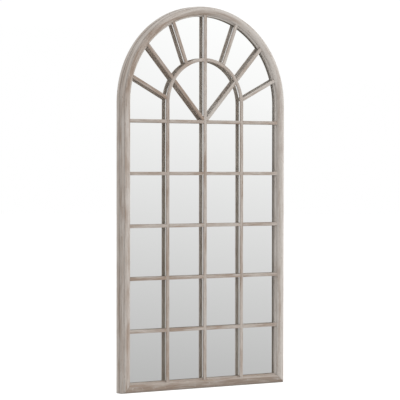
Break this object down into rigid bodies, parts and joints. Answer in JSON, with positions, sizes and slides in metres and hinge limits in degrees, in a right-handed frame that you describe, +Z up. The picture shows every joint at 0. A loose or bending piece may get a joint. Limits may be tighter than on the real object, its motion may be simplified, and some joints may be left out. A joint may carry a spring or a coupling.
{
  "type": "arched window mirror",
  "caption": "Tall arched wall mirror in a moulded whitewashed wood frame, with a lattice of glazing bars and a fan of rays in front of one mirror sheet.",
  "frame": {"origin": "on the wall plane, at the middle of the bottom edge of the frame's back face", "axes": "+Z up, +Y into the wall, +X to the viewer's right when facing the glass"},
  "size_m": [0.912, 0.0614, 1.8],
  "materials": {
    "whitewashed_wood": "whitewashed, worn, matt",
    "mirror": "silvered float glass",
    "hardboard": "smooth brown board",
    "dowel_wood": "plain turned beech",
    "zinc_steel": "zinc plated"
  },
  "bodies": {
    "frame": {"left_stile": "whitewashed_wood", "right_stile": "whitewashed_wood", "bottom_rail": "whitewashed_wood", "arch_segment_1": "whitewashed_wood", "arch_segment_2": "whitewashed_wood", "arch_segment_3": "whitewashed_wood", "arch_segment_4": "whitewashed_wood", "left_bar": "whitewashed_wood", "centre_bar": "whitewashed_wood", "right_bar": "whitewashed_wood", "cross_bar_1": "whitewashed_wood", "cross_bar_2": "whitewashed_wood", "cross_bar_3": "whitewashed_wood", "cross_bar_4": "whitewashed_wood", "cross_bar_5": "whitewashed_wood", "left_fan_ring": "whitewashed_wood", "right_fan_ring": "whitewashed_wood", "left_low_ray": "whitewashed_wood", "left_mid_ray": "whitewashed_wood", "left_high_ray": "whitewashed_wood", "left_inner_ray": "whitewashed_wood", "right_low_ray": "whitewashed_wood", "right_mid_ray": "whitewashed_wood", "right_high_ray": "whitewashed_wood", "right_inner_ray": "whitewashed_wood", "mirror_glass": "mirror", "backing_board": "hardboard", "left_hanger_strap": "zinc_steel", "right_hanger_strap": "zinc_steel", "frame_dowels": "dowel_wood", "board_screws": "zinc_steel", "hanger_screws": "zinc_steel"},
    "left_ring": {"left_hanger_ring": "zinc_steel"},
    "right_ring": {"right_hanger_ring": "zinc_steel"}
  },
  "joints": [
    {"name": "left_ring_swing", "type": "hinge", "parent": "frame", "child": "left_ring", "pos_m": [-0.441, -0.0041, 1.232], "axis": [1, 0, 0], "range_deg": [0, 180]},
    {"name": "right_ring_swing", "type": "hinge", "parent": "frame", "child": "right_ring", "pos_m": [0.441, -0.0041, 1.232], "axis": [1, 0, 0], "range_deg": [0, 180]}
  ]
}
